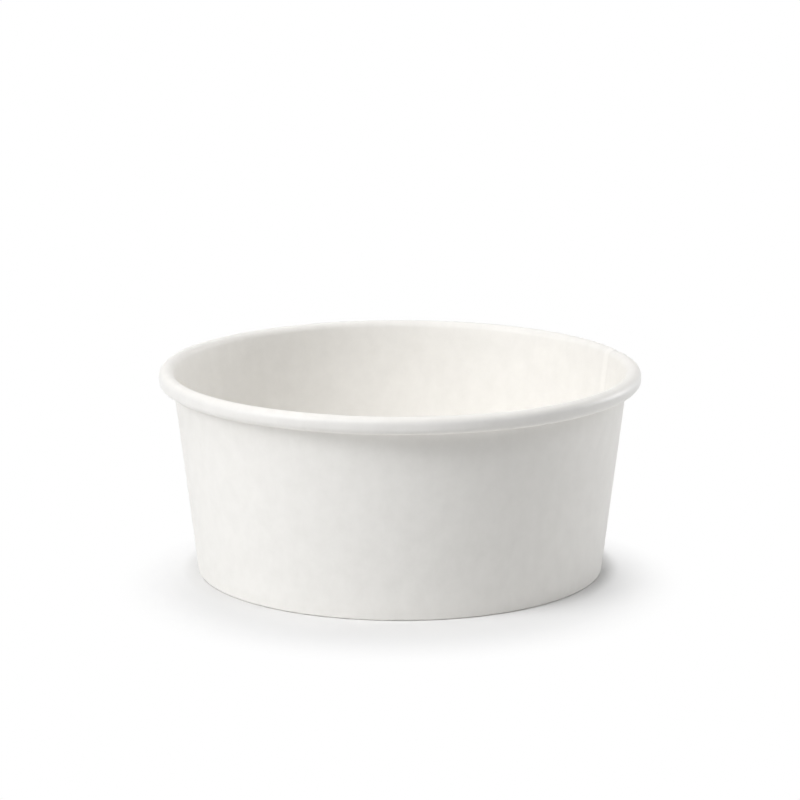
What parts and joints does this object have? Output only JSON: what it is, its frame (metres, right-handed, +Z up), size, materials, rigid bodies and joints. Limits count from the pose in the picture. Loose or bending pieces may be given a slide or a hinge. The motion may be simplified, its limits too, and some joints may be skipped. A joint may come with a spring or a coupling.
{
  "type": "paper sundae cup",
  "caption": "Shallow tapered paper dessert cup with a rolled rim bead, a lapped side seam and a recessed flat bottom on a folded foot.",
  "frame": {"origin": "centre of the ring that the folded foot makes on the table", "axes": "+Z up along the cup's axis; the wall's cut edge shows inside the cup 20 degrees from +X towards +Y"},
  "size_m": [0.098, 0.098, 0.042],
  "materials": {
    "paperboard": "matte"
  },
  "bodies": {
    "root": {"side_wall": "paperboard", "bottom_disc": "paperboard"}
  },
  "joints": []
}
